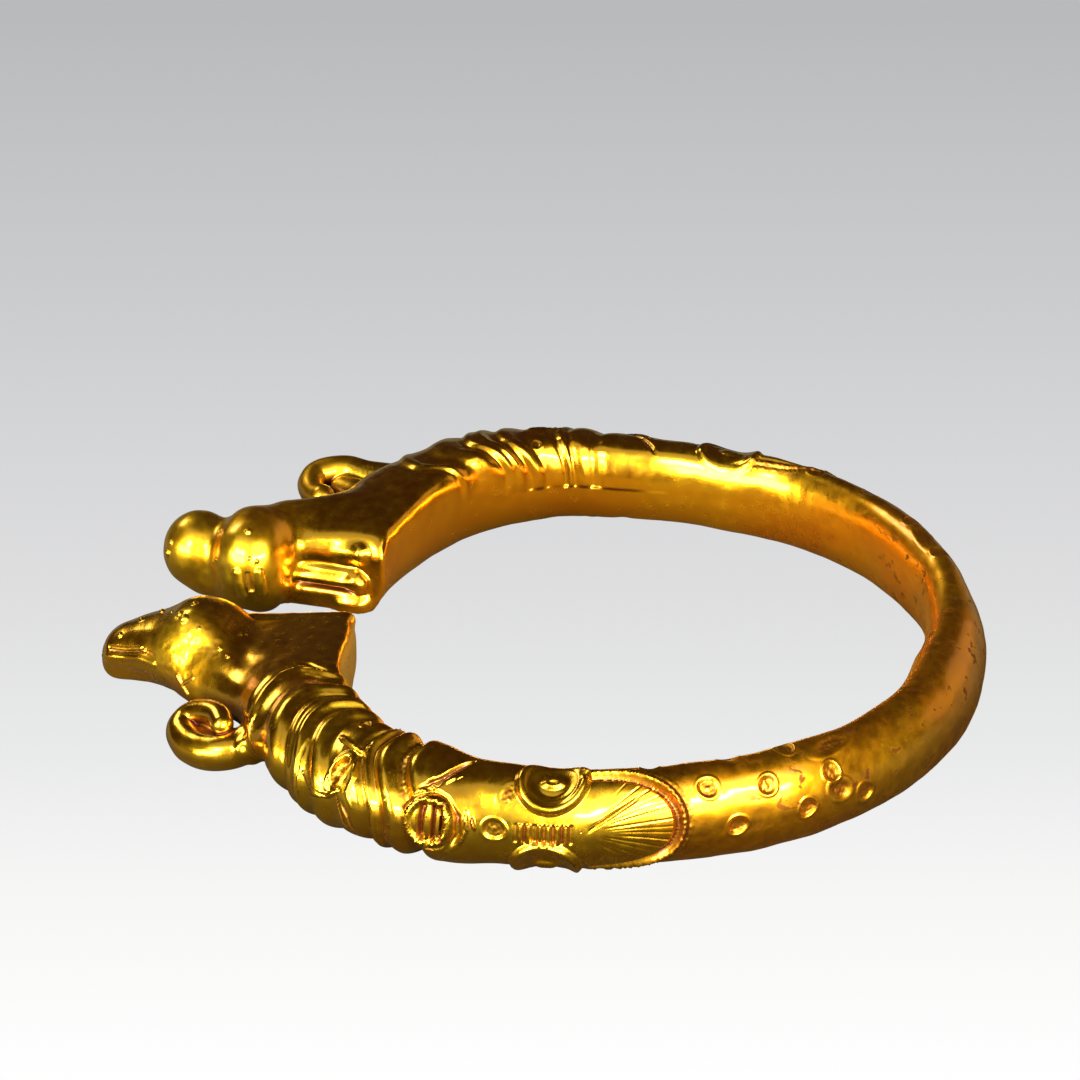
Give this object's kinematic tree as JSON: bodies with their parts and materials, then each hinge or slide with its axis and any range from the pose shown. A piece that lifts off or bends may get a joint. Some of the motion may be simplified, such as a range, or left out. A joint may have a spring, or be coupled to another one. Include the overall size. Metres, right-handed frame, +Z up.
{
  "type": "animal head bracelet",
  "caption": "Open cast gold bracelet worn on the wrist, ending in horned animal heads, with ringed necks, relief ornament and ring punches on its outer side.",
  "frame": {"origin": "middle of the wrist opening, on the surface that the bracelet lies on", "axes": "+Z up, square to the plane of the hoop; -Y from the middle of the wrist opening towards the gap between the heads; +X towards the longer, narrower head"},
  "size_m": [0.0768, 0.0848, 0.0103],
  "materials": {
    "gold": "gloss"
  },
  "bodies": {
    "root": {"bracelet": "gold"}
  },
  "joints": []
}
